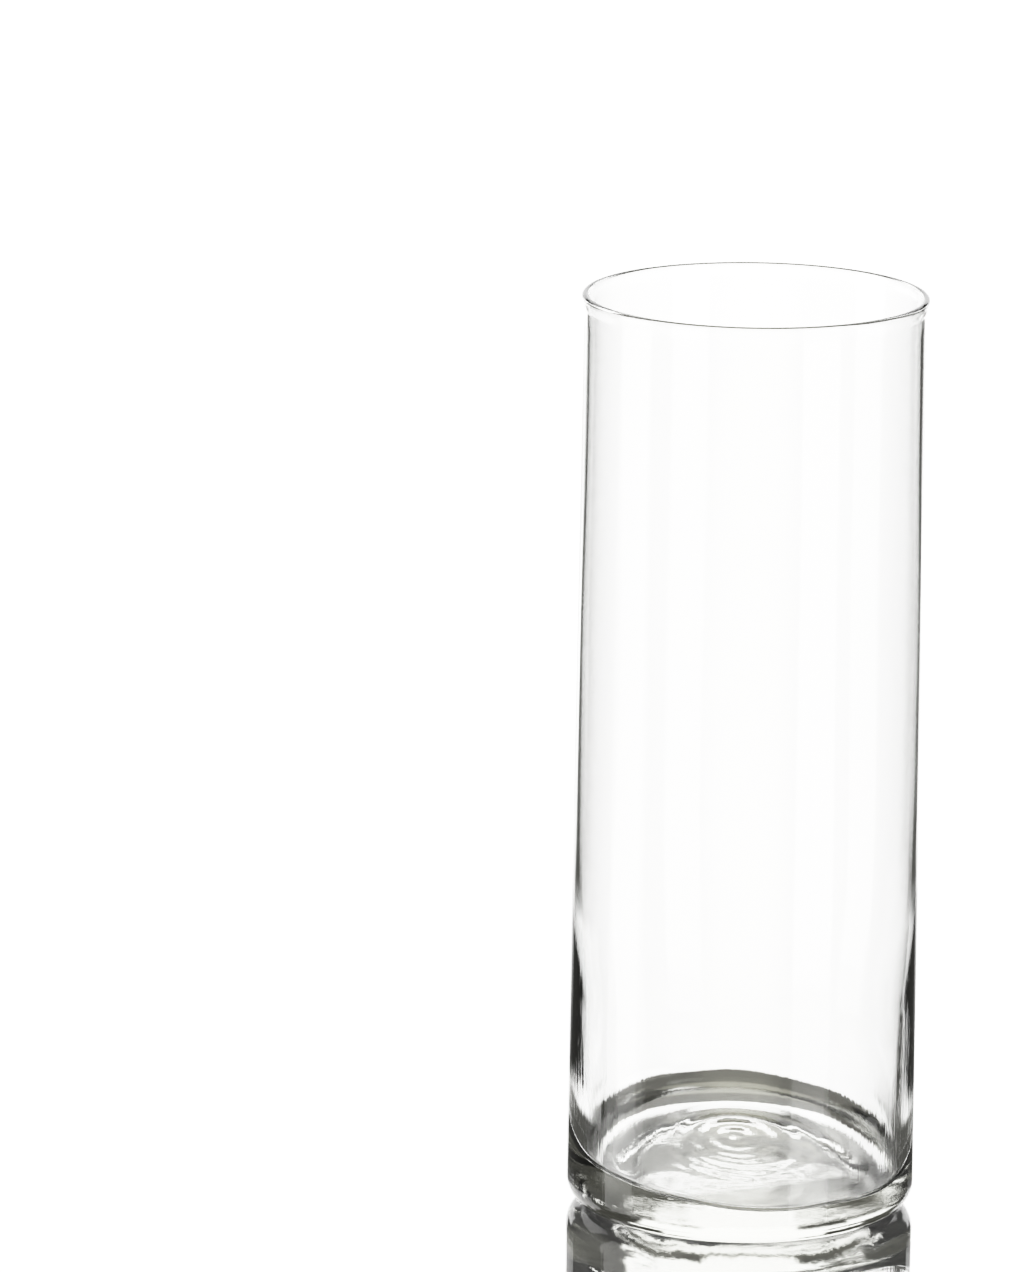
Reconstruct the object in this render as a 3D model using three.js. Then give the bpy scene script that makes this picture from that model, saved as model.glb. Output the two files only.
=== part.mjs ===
// Clear glass cylinder vase, as florists use for cut stems and floating candles.
//
// It is one piece of soda-lime glass, blown in a mould: a straight wall that is thin at the lip and
// thickens towards the foot, a heavy base with a shallow push-up under it, a rounded heel, and a
// fire-polished lip that turns out a little.
//
// Units are millimetres and +Z is up. The origin is the centre of the ring that the vase stands on.

import * as THREE from 'three';

// Overall sizes
const HEIGHT = 228.6;             // standing ring to the top of the lip
const FOOT_RADIUS = 43.0;         // outside of the wall at the top of the heel
const SHOULDER_RADIUS = 41.5;     // outside of the wall just under the lip

// Foot and base
const HEEL_RADIUS = 6.5;          // round between the standing ring and the wall
const STANDING_RING_WIDTH = 4.0;  // the flat band that touches the table
const PUSH_UP_DEPTH = 1.8;        // hollow under the base, measured at its centre
const PUSH_UP_FLAT_RADIUS = 25.0; // the hollow's level middle
const BASE_THICKNESS = 12.8;      // table to the inside floor
const FLOOR_FILLET_RADIUS = 7.0;  // round between the inside floor and the wall

// Wall
const WALL_AT_FOOT = 4.2;         // thickness of the wall next to the base
const WALL_AT_LIP = 1.35;         // thickness of the wall under the lip
const HEAVY_WALL_HEIGHT = 30.0;   // the wall keeps its full thickness up to here
const THINNING_HEIGHT = 28.0;     // how gently it thins above that

// Lip
const LIP_FLARE = 0.7;            // how far the lip turns out from the wall
const LIP_FLARE_HEIGHT = 4.0;     // over this height, down from the top
const LIP_THICKENING = 0.45;      // how much thicker than the wall the lip gets over that height

// Fineness of the turned surface
const STEPS_AROUND = 64;
const PUSH_UP_STEPS = 6;
const HEEL_STEPS = 6;
const OUTER_WALL_STEPS = 2;
const FLARE_STEPS = 5;
const LIP_SIDE_STEPS = 4;
const INNER_WALL_STEPS = 11;
const FILLET_STEPS = 6;

const QUARTER_TURN = Math.PI / 2;

const { lerp, smoothstep } = THREE.MathUtils;

// Places that follow from the sizes
const standingRingOuter = FOOT_RADIUS - HEEL_RADIUS;
const standingRingInner = standingRingOuter - STANDING_RING_WIDTH;
const lipRadius = (WALL_AT_LIP + LIP_THICKENING) / 2;
const lipCentreHeight = HEIGHT - lipRadius;
const flareFootHeight = HEIGHT - LIP_FLARE_HEIGHT;
const filletTopHeight = BASE_THICKNESS + FLOOR_FILLET_RADIUS;

// How far the wall has turned into the lip at this height, from 0 to 1.
function lipShare(height) {
  return smoothstep(height, flareFootHeight, lipCentreHeight);
}

// Outside radius of the wall, which tapers a little from foot to lip and turns out at the lip.
function outerRadius(height) {
  const share = (height - HEEL_RADIUS) / (HEIGHT - HEEL_RADIUS);
  return lerp(FOOT_RADIUS, SHOULDER_RADIUS, share) + LIP_FLARE * lipShare(height);
}

// Thickness of the wall: full next to the base, then falling off along a bell curve up to the lip.
function wallThickness(height) {
  const above = Math.max(0, height - HEAVY_WALL_HEIGHT) / THINNING_HEIGHT;
  const wall = lerp(WALL_AT_LIP, WALL_AT_FOOT, Math.exp(-above * above));
  return wall + LIP_THICKENING * lipShare(height);
}

function innerRadius(height) {
  return outerRadius(height) - wallThickness(height);
}

// Points along a curve given as a function of a share from 0 to 1, both ends included.
function sample(steps, pointAt) {
  return Array.from({ length: steps + 1 }, (_, i) => pointAt(i / steps));
}

// Points on a round of this size between two angles, both ends included.
function arc(centreRadius, centreHeight, size, from, to, steps) {
  return sample(steps, (share) => {
    const angle = lerp(from, to, share);
    const radius = centreRadius + size * Math.cos(angle);
    const height = centreHeight + size * Math.sin(angle);
    return new THREE.Vector2(radius, height);
  });
}

// The hollow under the base, from the edge of its level middle out to the standing ring.
function pushUpOutline() {
  return sample(PUSH_UP_STEPS, (share) => {
    const radius = lerp(PUSH_UP_FLAT_RADIUS, standingRingInner, share);
    const fall = smoothstep(radius, PUSH_UP_FLAT_RADIUS, standingRingInner);
    return new THREE.Vector2(radius, PUSH_UP_DEPTH * (1 - fall));
  });
}

// The heel, from the standing ring round to the wall.
function heelOutline() {
  return arc(standingRingOuter, HEEL_RADIUS, HEEL_RADIUS, -QUARTER_TURN, 0, HEEL_STEPS);
}

// The lip's round, from the outer wall over its top to the inner wall. It has a point right on top.
function lipOutline() {
  const centreRadius = outerRadius(lipCentreHeight) - lipRadius;
  const quarter = (from, to) =>
    arc(centreRadius, lipCentreHeight, lipRadius, from, to, LIP_SIDE_STEPS);
  return [...quarter(0, QUARTER_TURN), ...quarter(QUARTER_TURN, 2 * QUARTER_TURN).slice(1)];
}

// A stretch of wall between two heights, on a surface given by its radius at each height.
function wallOutline(radiusAt, from, to, steps) {
  return sample(steps, (share) => {
    const height = lerp(from, to, share);
    return new THREE.Vector2(radiusAt(height), height);
  });
}

// The round between the inner wall and the inside floor.
function filletOutline() {
  const centreRadius = innerRadius(filletTopHeight) - FLOOR_FILLET_RADIUS;
  return arc(centreRadius, filletTopHeight, FLOOR_FILLET_RADIUS, 0, -QUARTER_TURN, FILLET_STEPS);
}

// Half the vase's section: out along the base, up the outside, over the lip, down the inside and
// back to the axis along the inside floor. Each stretch starts where the one before it ended.
function vaseOutline() {
  return [
    new THREE.Vector2(0, PUSH_UP_DEPTH),
    ...pushUpOutline(),
    ...heelOutline(),
    ...wallOutline(outerRadius, HEEL_RADIUS, flareFootHeight, OUTER_WALL_STEPS).slice(1),
    ...wallOutline(outerRadius, flareFootHeight, lipCentreHeight, FLARE_STEPS).slice(1),
    ...lipOutline().slice(1, -1),
    ...wallOutline(innerRadius, lipCentreHeight, flareFootHeight, FLARE_STEPS),
    ...wallOutline(innerRadius, flareFootHeight, filletTopHeight, INNER_WALL_STEPS).slice(1),
    ...filletOutline().slice(1),
    new THREE.Vector2(0, BASE_THICKNESS),
  ];
}

function vaseBody() {
  const geometry = new THREE.LatheGeometry(vaseOutline(), STEPS_AROUND);
  geometry.rotateX(QUARTER_TURN);
  const clearGlass = new THREE.MeshStandardMaterial({
    color: 0xe9efec,
    roughness: 0.03,
    metalness: 0,
  });
  const mesh = new THREE.Mesh(geometry, clearGlass);
  mesh.name = 'vase_body';
  return mesh;
}

const vase = new THREE.Group();
vase.add(vaseBody());

export default vase;
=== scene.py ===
import math

import bmesh
import bpy
from mathutils import Matrix, Vector, noise


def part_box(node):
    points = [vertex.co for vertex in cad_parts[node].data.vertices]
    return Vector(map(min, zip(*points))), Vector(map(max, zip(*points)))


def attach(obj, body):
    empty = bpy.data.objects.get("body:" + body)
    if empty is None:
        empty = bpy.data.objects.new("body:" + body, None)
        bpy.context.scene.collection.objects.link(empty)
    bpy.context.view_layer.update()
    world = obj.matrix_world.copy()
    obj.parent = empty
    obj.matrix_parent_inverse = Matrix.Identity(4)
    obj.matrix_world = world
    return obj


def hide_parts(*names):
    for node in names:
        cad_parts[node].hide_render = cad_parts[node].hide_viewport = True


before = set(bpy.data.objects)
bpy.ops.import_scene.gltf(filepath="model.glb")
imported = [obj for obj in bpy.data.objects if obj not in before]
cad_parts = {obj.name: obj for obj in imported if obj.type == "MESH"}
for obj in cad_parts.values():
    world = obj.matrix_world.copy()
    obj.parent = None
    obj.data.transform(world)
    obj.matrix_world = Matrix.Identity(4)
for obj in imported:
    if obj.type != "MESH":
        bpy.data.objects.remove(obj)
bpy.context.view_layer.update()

MM = 0.001
DEGREES = 180 / math.pi

# The vase's section, in metres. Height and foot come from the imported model.
LOW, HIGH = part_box("vase_body")
HEIGHT = HIGH.z - LOW.z
FOOT_RADIUS = (HIGH.x - LOW.x) / 2
SHOULDER_RADIUS = FOOT_RADIUS - 1.5 * MM
HEEL_RADIUS = 6.5 * MM
STANDING_RING_WIDTH = 4.0 * MM
PUSH_UP_DEPTH = 1.8 * MM
PUSH_UP_FLAT_RADIUS = 25.0 * MM
BASE_THICKNESS = 12.8 * MM
FLOOR_FILLET_RADIUS = 7.0 * MM
WALL_AT_FOOT = 4.2 * MM
WALL_AT_LIP = 1.35 * MM
HEAVY_WALL_HEIGHT = 30.0 * MM
THINNING_HEIGHT = 28.0 * MM
LIP_FLARE = 0.7 * MM
LIP_FLARE_HEIGHT = 4.0 * MM
LIP_THICKENING = 0.45 * MM

# Places that follow from the sizes
STANDING_RING_OUTER = FOOT_RADIUS - HEEL_RADIUS
STANDING_RING_INNER = STANDING_RING_OUTER - STANDING_RING_WIDTH
FILLET_TOP = BASE_THICKNESS + FLOOR_FILLET_RADIUS
LIP_FOOT = HEIGHT - LIP_FLARE_HEIGHT
LIP_ROUND = (WALL_AT_LIP + LIP_THICKENING) / 2
LIP_SIDE = HEIGHT - LIP_ROUND

# Fineness: segments of the rounds, steps of the spin, and how long a piece of the section may be.
HEEL_SEGMENTS = 16
FILLET_SEGMENTS = 16
LIP_SEGMENTS = 8
SPIN_STEPS = 288
LIP_PIECE = 0.4 * MM
FLOOR_PIECE = 0.5 * MM
UNDERSIDE_PIECE = 1.5 * MM
HEEL_PIECE = 4.0 * MM
LOW_WALL_PIECE = 1.8 * MM
HIGH_WALL_PIECE = 4.0 * MM
OUTER_WALL_PIECE = 7.0 * MM
LIP_ROUND_SHARE = 0.98           # leaves a hair of flat between the two rounds of the lip
MERGE_DISTANCE = 0.001 * MM
LEEWAY = 0.1 * MM                # how far off a point may be and still count as on a surface

# The base leans: these are its rise per metre to the right and to the back.
LEAN_RIGHT = -0.06
LEAN_BACK = 0.13
LEAN_FADES_OVER = 35.0 * MM

# The round between floor and wall is drawn tighter in front, from one place along Y to another.
FRONT_TIGHTENING = 0.6
TIGHTENS_FROM = 5.0 * MM
TIGHTENS_TO = -20.0 * MM

# How the inside strays from a true turning: heights or depths, and the size of the noise that
# shapes them, as a length or as how often it varies on the way round.
FILLET_WANDER = 0.7 * MM
WANDER_AROUND = 2.2
WANDER_LEVEL = 0.7
FLOOR_SWELL = 0.2 * MM
SWELL_LENGTH = 9.0 * MM
WALL_OFF_CENTRE = 0.22 * MM
WALL_WAVE = 0.2 * MM
WAVE_AROUND = 1.6
WAVE_LENGTH = 60.0 * MM
WALL_STARTS = 0.6 * FOOT_RADIUS          # what belongs to the wall comes in from here
WALL_FULL = 0.88 * FOOT_RADIUS           # to here
WALL_EVENS_FROM = 0.6 * HEIGHT           # the wall's waves die out from here to the lip

# Rings in the inside floor
RING_CENTRE = Vector((-1.5, 7.0)) * MM
RING_SPACING = 5.0 * MM
RING_HEIGHT = 0.085 * MM
RING_REACH = 27.0 * MM
RING_OVAL = 0.22                         # how far the rings are from round
RING_OVAL_TURN = 1.0                     # which way they are drawn out, in radians

# The glass, and the fine unevenness of its surface: flow lines that run up the wall, and drawn
# lines round the heel. Scales and fineness are per metre.
REFRACTION = 1.52
GLASS_TINT = (0.79, 0.80, 0.72, 1)
GLASS_DENSITY = 8.0
FLOW_LINE_DEPTH = 0.03 * MM
FLOW_LINE_SCALE = (1, 1, 0.04)
FLOW_LINE_FINENESS = 700.0
FLOW_LINE_PLACE = (0.3, 0.1, 0)
FLOW_LINES_FROM = 15.0 * MM
FLOW_LINES_END = 80.0 * MM
HEEL_LINE_DEPTH = 0.02 * MM
HEEL_LINE_SCALE = (0.12, 0.12, 1)
HEEL_LINE_FINENESS = 1500.0
HEEL_LINE_PLACE = (0, 0, 0.2)
HEEL_LINES_FROM = 8.0 * MM
HEEL_LINES_END = 13.0 * MM
STREAK_DETAIL = 3.0
STREAK_ROUGHNESS = 0.55
SCUFF_ROUGHNESS = 0.25
SCUFF_HEIGHT = 0.5 * MM

# The camera stands in front, looking along +Y and a little down.
CAMERA_PLACE = (-0.05786, -2.09487, 0.63727)
CAMERA_PITCH = 13.282
CAMERA_ROLL = 0.715
CAMERA_LENS = 249.15
CAMERA_SENSOR = 36.0

# The studio: bright screens far off round a dim room, as (azimuth, lowest, highest) in degrees.
# Azimuth 0 is straight ahead of the camera, and it grows to the left.
SCREENS = (
    (0, -5, 40),
    (7, -5, 15),
    (-7, -5, 15),
    (20, 17.6, 31),
    (-17, 17.6, 31),
    (20, -5, 7),
    (-17, -5, 7),
    (45, 18.5, 36),
    (90, -5, 31),
    (225, -5, 24),
)
SCREEN_HALF_WIDTH = 13.5
SCREEN_EDGE = 1.2
SCREEN_LIGHT = 1.75

# The room: a soft panel behind the camera, upper walls that fade in, and a ceiling. All its angles
# are in degrees, and its lights are shares of the room's colour.
ROOM_COLOUR = (1.0, 0.99, 0.86, 1)
ROOM_LIGHT = 0.055
PANEL = (175, 5, 36)
PANEL_HALF_WIDTH = 25
PANEL_SIDE_EDGE = 10
PANEL_TOP_EDGE = 4
PANEL_LIGHT = 0.7
UPPER_FROM = 30
UPPER_TO = 44
UPPER_LIGHT = 0.08
CEILING_FROM = 59
CEILING_EDGE = 3
CEILING_LIGHT = 0.3

# The floor
FLOOR_SIZE = 300.0
FLOOR_COLOUR = (0.95, 0.95, 0.95, 1)
FLOOR_SHEEN = 0.9
FLOOR_ROUGHNESS = 0.02
# The floor's glow is painted light: a faint even light added all over the floor, standing in for what a
# lit white floor would scatter.
FLOOR_PAINTED_GLOW = 0.03
FLOOR_DROP = 0.1 * MM            # keeps the floor clear of the ring that stands on it

# Tones from dark to light, as shares of the brightest light kept.
BRIGHTEST = 1.6
TONES = ((0.0625, 0.09), (0.375, 0.62), (0.625, 0.87), (0.8125, 0.95))


class Wire:
    """An output of a node. Arithmetic on it adds Math nodes to its tree."""

    def __init__(self, tree, socket):
        self.tree = tree
        self.socket = socket

    def math(self, operation, *others):
        return math_node(self.tree, operation, self, *others)

    def __add__(self, other):
        return self.math("ADD", other)

    __radd__ = __add__

    def __mul__(self, other):
        return self.math("MULTIPLY", other)

    __rmul__ = __mul__

    def __truediv__(self, other):
        return self.math("DIVIDE", other)

    def __rtruediv__(self, other):
        return math_node(self.tree, "DIVIDE", other, self)


def add_node(tree, kind, settings=None, inputs=None, output=0):
    """A node of this kind: its settings are set first, then its inputs by name or number."""
    node = tree.nodes.new(kind)
    for name, value in (settings or {}).items():
        setattr(node, name, value)
    for key, value in (inputs or {}).items():
        if isinstance(value, Wire):
            tree.links.new(value.socket, node.inputs[key])
        else:
            node.inputs[key].default_value = value
    return Wire(tree, node.outputs[output]) if node.outputs else node


def math_node(tree, operation, *values):
    return add_node(tree, "ShaderNodeMath", {"operation": operation}, dict(enumerate(values)))


def fade(value, start, end, low=0.0, high=1.0):
    """Goes smoothly from low to high as value goes from start to end."""
    settings = {"interpolation_type": "SMOOTHSTEP"}
    inputs = {"Value": value, "From Min": start, "From Max": end, "To Min": low, "To Max": high}
    return add_node(value.tree, "ShaderNodeMapRange", settings, inputs)


def split(vector):
    """The three numbers of a vector."""
    node = add_node(vector.tree, "ShaderNodeSeparateXYZ", None, {0: vector}).socket.node
    return [Wire(vector.tree, socket) for socket in node.outputs]


# ---------------------------------------------------------------- camera, light and floor


def make_camera():
    data = bpy.data.cameras.new("camera")
    data.sensor_width = CAMERA_SENSOR
    data.lens = CAMERA_LENS
    camera = bpy.data.objects.new("camera", data)
    bpy.context.scene.collection.objects.link(camera)
    tilt = Matrix.Rotation(math.radians(90 - CAMERA_PITCH), 4, "X")
    roll = Matrix.Rotation(math.radians(CAMERA_ROLL), 4, "Z")
    camera.matrix_world = Matrix.Translation(CAMERA_PLACE) @ tilt @ roll
    bpy.context.scene.camera = camera


def make_studio():
    world = bpy.data.worlds.new("studio")
    world.use_nodes = True
    tree = world.node_tree
    tree.nodes.clear()
    x, y, z = split(add_node(tree, "ShaderNodeTexCoord", None, None, "Generated"))
    level = (x * x + y * y).math("SQRT")
    elevation = z.math("ARCTAN2", level) * DEGREES

    def beside(azimuth, half_width, edge):
        """1 within half_width degrees of this azimuth, fading to 0 over the edge."""
        turn = math.radians(azimuth)
        towards = (x * -math.sin(turn) + y * math.cos(turn)) / level
        off = towards.math("MINIMUM", 1.0).math("MAXIMUM", -1.0).math("ARCCOSINE") * DEGREES
        return fade(off, half_width - edge, half_width + edge, 1.0, 0.0)

    def between(lowest, highest, edge):
        """1 between these elevations, fading to 0 over the edge."""
        above = fade(elevation, lowest - edge, lowest + edge)
        return above * fade(elevation, highest - edge, highest + edge, 1.0, 0.0)

    def light(colour, strength):
        return add_node(tree, "ShaderNodeBackground", None, {"Color": colour, "Strength": strength})

    screens = None
    for azimuth, lowest, highest in SCREENS:
        across = beside(azimuth, SCREEN_HALF_WIDTH, SCREEN_EDGE)
        screen = across * between(lowest, highest, SCREEN_EDGE)
        screens = screen if screens is None else screens.math("MAXIMUM", screen)
    azimuth, lowest, highest = PANEL
    panel = beside(azimuth, PANEL_HALF_WIDTH, PANEL_SIDE_EDGE) * between(lowest, highest, PANEL_TOP_EDGE)
    upper = fade(elevation, UPPER_FROM, UPPER_TO)
    ceiling = fade(elevation, CEILING_FROM - CEILING_EDGE, CEILING_FROM + CEILING_EDGE)
    room = panel * PANEL_LIGHT + upper * UPPER_LIGHT + ceiling * CEILING_LIGHT + ROOM_LIGHT
    lights = {0: light((1, 1, 1, 1), screens * SCREEN_LIGHT), 1: light(ROOM_COLOUR, room)}
    both = add_node(tree, "ShaderNodeAddShader", None, lights)
    add_node(tree, "ShaderNodeOutputWorld", None, {"Surface": both})
    bpy.context.scene.world = world


def set_tones():
    """Holds back the brightest tones, as film does, so that glass in front of a screen still shows."""
    view = bpy.context.scene.view_settings
    view.view_transform = "Standard"
    view.use_curve_mapping = True
    mapping = view.curve_mapping
    mapping.white_level = (BRIGHTEST, BRIGHTEST, BRIGHTEST)
    all_colours = mapping.curves[3]
    for light, tone in TONES:
        all_colours.points.new(light, tone)
    mapping.update()


def glossy_white_floor():
    material = bpy.data.materials.new("glossy_white_floor")
    material.use_nodes = True
    shader = material.node_tree.nodes["Principled BSDF"]
    shader.inputs["Base Color"].default_value = FLOOR_COLOUR
    shader.inputs["Metallic"].default_value = FLOOR_SHEEN
    shader.inputs["Roughness"].default_value = FLOOR_ROUGHNESS
    # Painted light: the floor glows faintly all over, though it is no lamp.
    shader.inputs["Emission Color"].default_value = (1, 1, 1, 1)
    shader.inputs["Emission Strength"].default_value = FLOOR_PAINTED_GLOW
    return material


def make_floor():
    mesh = bpy.data.meshes.new("floor")
    bm = bmesh.new()
    bmesh.ops.create_grid(bm, x_segments=1, y_segments=1, size=FLOOR_SIZE / 2)
    bmesh.ops.translate(bm, verts=bm.verts, vec=(0, 0, LOW.z - FLOOR_DROP))
    bm.to_mesh(mesh)
    bm.free()
    mesh.materials.append(glossy_white_floor())
    floor = bpy.data.objects.new("floor", mesh)
    bpy.context.scene.collection.objects.link(floor)


# ---------------------------------------------------------------- glass


def streaks(position, scale, fineness, place):
    """Noise drawn out along the directions whose scale is small."""
    inputs = {"Vector": position, "Location": place, "Scale": scale}
    drawn_out = add_node(position.tree, "ShaderNodeMapping", None, inputs)
    inputs = {
        "Vector": drawn_out,
        "Scale": fineness,
        "Detail": STREAK_DETAIL,
        "Roughness": STREAK_ROUGHNESS,
    }
    return add_node(position.tree, "ShaderNodeTexNoise", {"noise_dimensions": "3D"}, inputs)


def clear_glass():
    material = bpy.data.materials.new("clear_glass")
    material.use_nodes = True
    tree = material.node_tree
    shader = tree.nodes["Principled BSDF"]
    shader.inputs["Base Color"].default_value = (1, 1, 1, 1)
    shader.inputs["IOR"].default_value = REFRACTION
    shader.inputs["Transmission Weight"].default_value = 1.0

    position = add_node(tree, "ShaderNodeTexCoord", None, None, "Object")
    height = split(position)[2]
    up_the_wall = fade(height, FLOW_LINES_FROM, FLOW_LINES_END, 1.0, 0.0)
    flow = streaks(position, FLOW_LINE_SCALE, FLOW_LINE_FINENESS, FLOW_LINE_PLACE) * up_the_wall
    at_heel = fade(height, HEEL_LINES_FROM, HEEL_LINES_END, 1.0, 0.0)
    heel = streaks(position, HEEL_LINE_SCALE, HEEL_LINE_FINENESS, HEEL_LINE_PLACE) * at_heel
    relief = flow * FLOW_LINE_DEPTH + heel * HEEL_LINE_DEPTH
    bump = add_node(tree, "ShaderNodeBump", None, {"Strength": 1.0, "Distance": 1.0, "Height": relief})
    tree.links.new(bump.socket, shader.inputs["Normal"])

    scuffed = fade(height, 0.0, SCUFF_HEIGHT, SCUFF_ROUGHNESS, 0.0)
    tree.links.new(scuffed.socket, shader.inputs["Roughness"])

    tint = {"Color": GLASS_TINT, "Density": GLASS_DENSITY}
    volume = add_node(tree, "ShaderNodeVolumeAbsorption", None, tint)
    tree.links.new(volume.socket, tree.nodes["Material Output"].inputs["Volume"])
    return material


# ---------------------------------------------------------------- the vase's shape


def smooth_step(value, start, end):
    share = min(1.0, max(0.0, (value - start) / (end - start)))
    return share * share * (3 - 2 * share)


def outer_radius(height):
    share = (height - HEEL_RADIUS) / (HEIGHT - HEEL_RADIUS)
    wall = FOOT_RADIUS + (SHOULDER_RADIUS - FOOT_RADIUS) * share
    return wall + LIP_FLARE * smooth_step(height, LIP_FOOT, LIP_SIDE)


def wall_thickness(height):
    above = max(0.0, height - HEAVY_WALL_HEIGHT) / THINNING_HEIGHT
    wall = WALL_AT_LIP + (WALL_AT_FOOT - WALL_AT_LIP) * math.exp(-above * above)
    return wall + LIP_THICKENING * smooth_step(height, LIP_FOOT, LIP_SIDE)


def inner_radius(height):
    return outer_radius(height) - wall_thickness(height)


def push_up_share(r):
    """1 on the level middle of the hollow under the base, falling to 0 at the standing ring."""
    return 1 - smooth_step(r, PUSH_UP_FLAT_RADIUS, STANDING_RING_INNER)


def draw_section(bm):
    """Half the section as one chain of edges with sharp corners, from the axis under the base to
    the axis on the inside floor. Returns its corners."""
    points = {
        "under": (0, PUSH_UP_DEPTH),
        "ring": (STANDING_RING_INNER, 0),
        "heel": (FOOT_RADIUS, 0),
        "lip_foot_outside": (outer_radius(LIP_FOOT), LIP_FOOT),
        "lip_side_outside": (outer_radius(LIP_SIDE), LIP_SIDE),
        "lip_top_outside": (outer_radius(LIP_SIDE), HEIGHT),
        "lip_top_inside": (inner_radius(LIP_SIDE), HEIGHT),
        "lip_side_inside": (inner_radius(LIP_SIDE), LIP_SIDE),
        "lip_foot_inside": (inner_radius(LIP_FOOT), LIP_FOOT),
        "floor_corner": (inner_radius(FILLET_TOP), BASE_THICKNESS),
        "floor_middle": (0, BASE_THICKNESS),
    }
    corners = {name: bm.verts.new((r, 0, z)) for name, (r, z) in points.items()}
    chain = list(corners.values())
    for a, b in zip(chain, chain[1:]):
        bm.edges.new((a, b))
    return corners


def round_corner(bm, corner, size, segments):
    bmesh.ops.bevel(
        bm, geom=[corner], offset=size, offset_type="OFFSET", segments=segments,
        profile=0.5, affect="VERTICES", material=-1,
    )


def is_inside(r, z):
    """True on the surface that holds the water."""
    return z > BASE_THICKNESS - LEEWAY and r < outer_radius(z) - WALL_AT_LIP / 2


def piece_length(r, z):
    """How long a piece of the section may be here: shortest where it curves or carries rings."""
    if z > LIP_FOOT:
        return LIP_PIECE
    if is_inside(r, z):
        if z < FILLET_TOP:
            return FLOOR_PIECE
        return LOW_WALL_PIECE if z < HEAVY_WALL_HEIGHT else HIGH_WALL_PIECE
    if z < FILLET_TOP:
        return UNDERSIDE_PIECE if r < STANDING_RING_INNER else HEEL_PIECE
    return OUTER_WALL_PIECE


def divide_long_edges(bm):
    """Cuts each edge as finely as its middle or either end needs."""
    for edge in list(bm.edges):
        a, b = (v.co for v in edge.verts)
        cuts = 0
        for share in (0.02, 0.5, 0.98):
            r, _, z = a.lerp(b, share)
            cuts = max(cuts, math.ceil(edge.calc_length() / piece_length(r, z)) - 1)
        if cuts > 0:
            bmesh.ops.subdivide_edges(bm, edges=[edge], cuts=cuts)


def shape_section(bm):
    """Gives the straight runs of the section their curves."""
    for vert in bm.verts:
        r, z = vert.co.x, vert.co.z
        if z <= PUSH_UP_DEPTH and r < STANDING_RING_INNER:
            vert.co.z = PUSH_UP_DEPTH * push_up_share(r)
        elif FILLET_TOP <= z <= LIP_SIDE:
            vert.co.x = inner_radius(z) if is_inside(r, z) else outer_radius(z)


def floor_rings(x, y):
    """Height of the rings that the blowpipe's breath leaves in the inside floor."""
    across = Vector((x, y)) - RING_CENTRE
    stretch = 1 - RING_OVAL * math.cos(math.atan2(across.y, across.x) + RING_OVAL_TURN)
    distance = across.length * stretch
    wave = math.cos(2 * math.pi * distance / RING_SPACING)
    return RING_HEIGHT * wave * (1 - smooth_step(distance, RING_REACH / 2, RING_REACH))


def base_lean(x, y):
    """How far the base is pushed up here beyond its middle: more at the back and on the left."""
    return LEAN_RIGHT * x + LEAN_BACK * y


def around_noise(x, y, turns, level):
    """Noise that closes on itself on the way round the axis."""
    around = math.atan2(y, x)
    return noise.noise(Vector((turns * math.cos(around), turns * math.sin(around), level)))


def unsettle_underside(vert):
    x, y, z = vert.co
    vert.co.z = max(0.0, z + base_lean(x, y) * push_up_share(math.hypot(x, y)))


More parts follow.
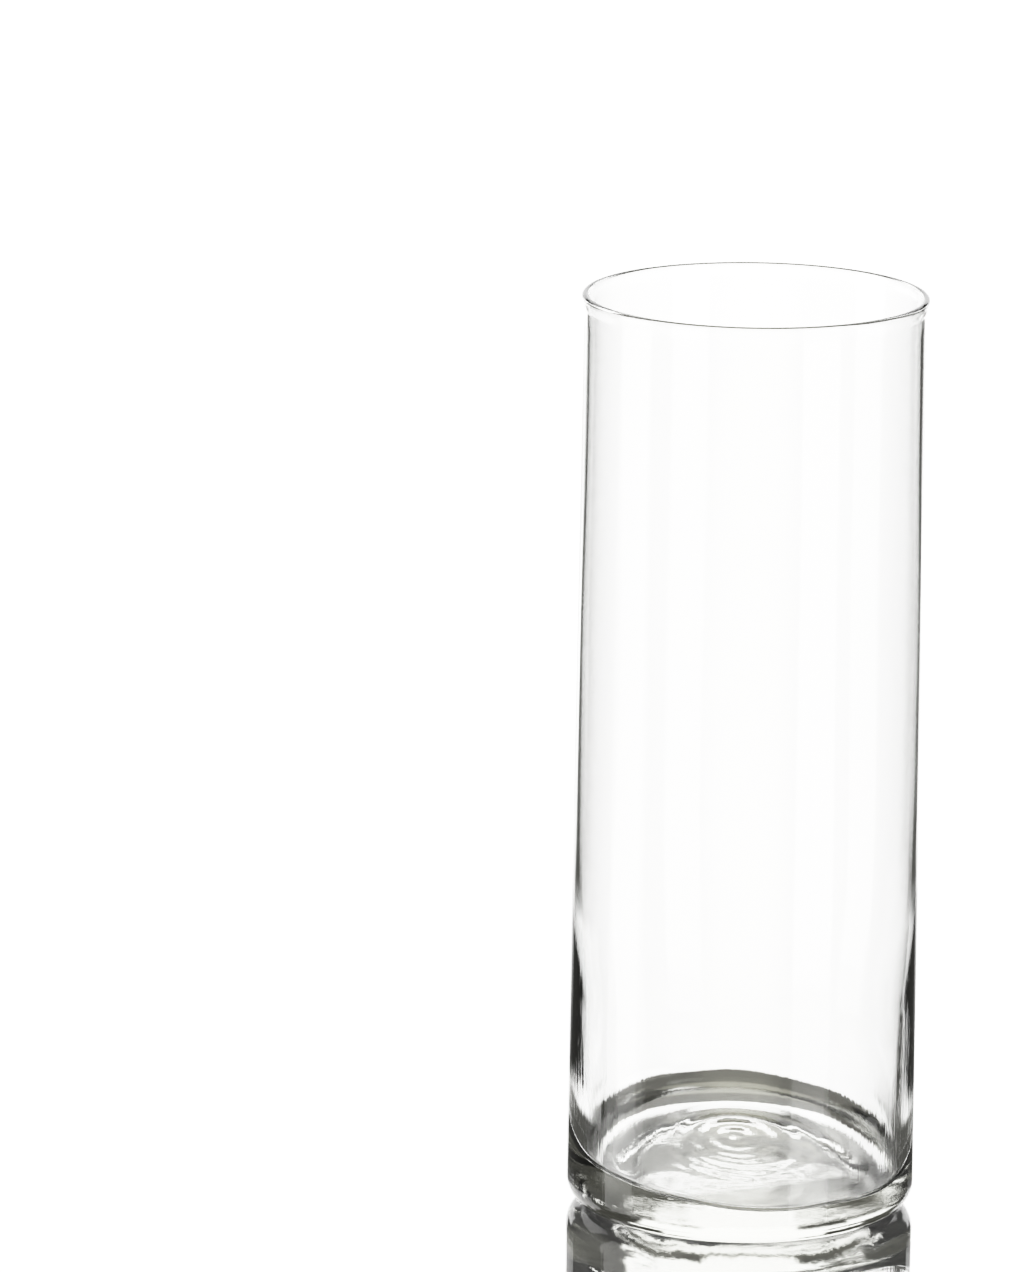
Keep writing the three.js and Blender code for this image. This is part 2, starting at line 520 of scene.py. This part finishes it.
def unsettle_inside(vert):
    x, y, z = vert.co
    r = math.hypot(x, y)
    low = 1 - smooth_step(z, FILLET_TOP, FILLET_TOP + LEAN_FADES_OVER)
    at_wall = smooth_step(r, WALL_STARTS, WALL_FULL)

    tightening = FRONT_TIGHTENING * smooth_step(y, TIGHTENS_FROM, TIGHTENS_TO)
    rise = (base_lean(x, y) - tightening * max(0.0, z - BASE_THICKNESS)) * low
    rise += FILLET_WANDER * around_noise(x, y, WANDER_AROUND, WANDER_LEVEL) * at_wall * low
    rise += FLOOR_SWELL * noise.noise(Vector((x, y, 0)) / SWELL_LENGTH) * (1 - at_wall)
    if z < BASE_THICKNESS + 2 * LEEWAY:
        rise += floor_rings(x, y)

    to_lip = 1 - smooth_step(z, WALL_EVENS_FROM, LIP_FOOT)
    wave = WALL_WAVE * around_noise(x, y, WAVE_AROUND, z / WAVE_LENGTH)
    out = (WALL_OFF_CENTRE * math.cos(math.atan2(y, x)) + wave) * to_lip * at_wall
    wider = 1 + out / max(r, MM)
    vert.co = Vector((x * wider, y * wider, z + rise))


def unsettle(bm):
    """Lets the inside and the underside stray from a true turning, as blown glass does."""
    for vert in bm.verts:
        x, y, z = vert.co
        r = math.hypot(x, y)
        if r < STANDING_RING_INNER and z < PUSH_UP_DEPTH + LEEWAY:
            unsettle_underside(vert)
        elif is_inside(r, z) and z <= LIP_FOOT:
            unsettle_inside(vert)


def vase_mesh():
    bm = bmesh.new()
    corners = draw_section(bm)
    round_corner(bm, corners["heel"], HEEL_RADIUS, HEEL_SEGMENTS)
    round_corner(bm, corners["floor_corner"], FLOOR_FILLET_RADIUS, FILLET_SEGMENTS)
    for name in ("lip_top_outside", "lip_top_inside"):
        round_corner(bm, corners[name], LIP_ROUND * LIP_ROUND_SHARE, LIP_SEGMENTS)
    divide_long_edges(bm)
    shape_section(bm)
    bmesh.ops.spin(
        bm, geom=list(bm.verts) + list(bm.edges), cent=(0, 0, 0), axis=(0, 0, 1),
        angle=2 * math.pi, steps=SPIN_STEPS, use_merge=True,
    )
    bmesh.ops.remove_doubles(bm, verts=bm.verts, dist=MERGE_DISTANCE)
    unsettle(bm)
    bmesh.ops.recalc_face_normals(bm, faces=bm.faces)
    for face in bm.faces:
        face.smooth = True
    mesh = bpy.data.meshes.new("vase_glass")
    bm.to_mesh(mesh)
    bm.free()
    return mesh


def make_vase():
    mesh = vase_mesh()
    mesh.materials.append(clear_glass())
    vase = bpy.data.objects.new("vase_glass", mesh)
    bpy.context.scene.collection.objects.link(vase)
    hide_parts("vase_body")
    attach(vase, "root")


make_camera()
make_studio()
make_floor()
make_vase()
set_tones()
